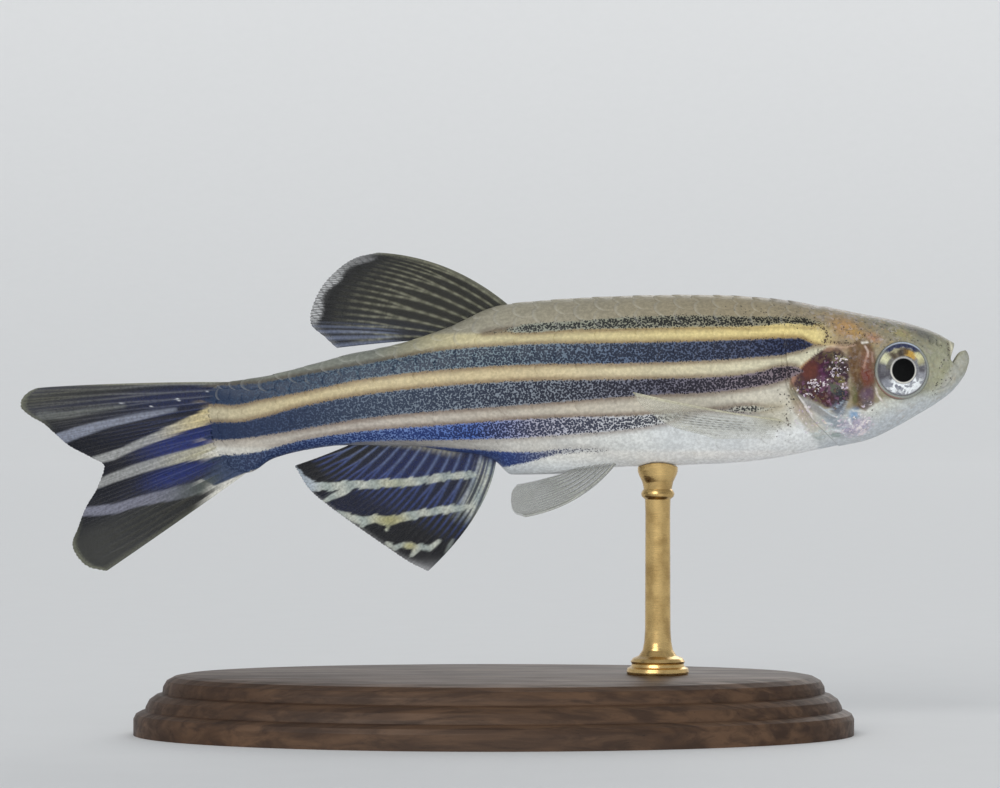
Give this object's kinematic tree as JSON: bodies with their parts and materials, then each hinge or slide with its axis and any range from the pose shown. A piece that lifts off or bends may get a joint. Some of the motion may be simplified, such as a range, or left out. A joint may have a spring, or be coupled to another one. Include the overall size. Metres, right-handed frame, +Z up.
{
  "type": "zebra danio model on a display stand",
  "caption": "Life-size model of a small, slender, striped fish, a zebra danio, with its fins spread, held above an oval base by a slim rod.",
  "frame": {"origin": "centre of the object's bounding box seen from above, on the underside of the stand's base", "axes": "+X towards the fish's snout, +Y to the fish's left, +Z up"},
  "size_m": [0.0478, 0.02, 0.0241],
  "materials": {
    "head_skin": "wet olive and silver skin over the head",
    "body_skin": "wet silver skin with dark blue and cream stripes",
    "fin_clear": "dusky, partly clear fin membrane with paler rays",
    "fin_banded": "dark blue fin membrane with cream bands and a clear edge",
    "eye_silver": "silver iris round a black pupil, under a clear cornea",
    "stand_wood": "dark wood, satin",
    "stand_brass": "turned and polished"
  },
  "bodies": {
    "root": {"head": "head_skin", "trunk": "body_skin", "tail": "body_skin", "eye_left": "eye_silver", "eye_right": "eye_silver", "dorsal_fin": "fin_clear", "anal_fin": "fin_banded", "caudal_fin_upper": "fin_banded", "caudal_fin_lower": "fin_banded", "pelvic_fin_left": "fin_clear", "pelvic_fin_right": "fin_clear", "pectoral_fin_left": "fin_clear", "pectoral_fin_right": "fin_clear", "stand_base": "stand_wood", "stand_rod": "stand_brass"}
  },
  "joints": []
}
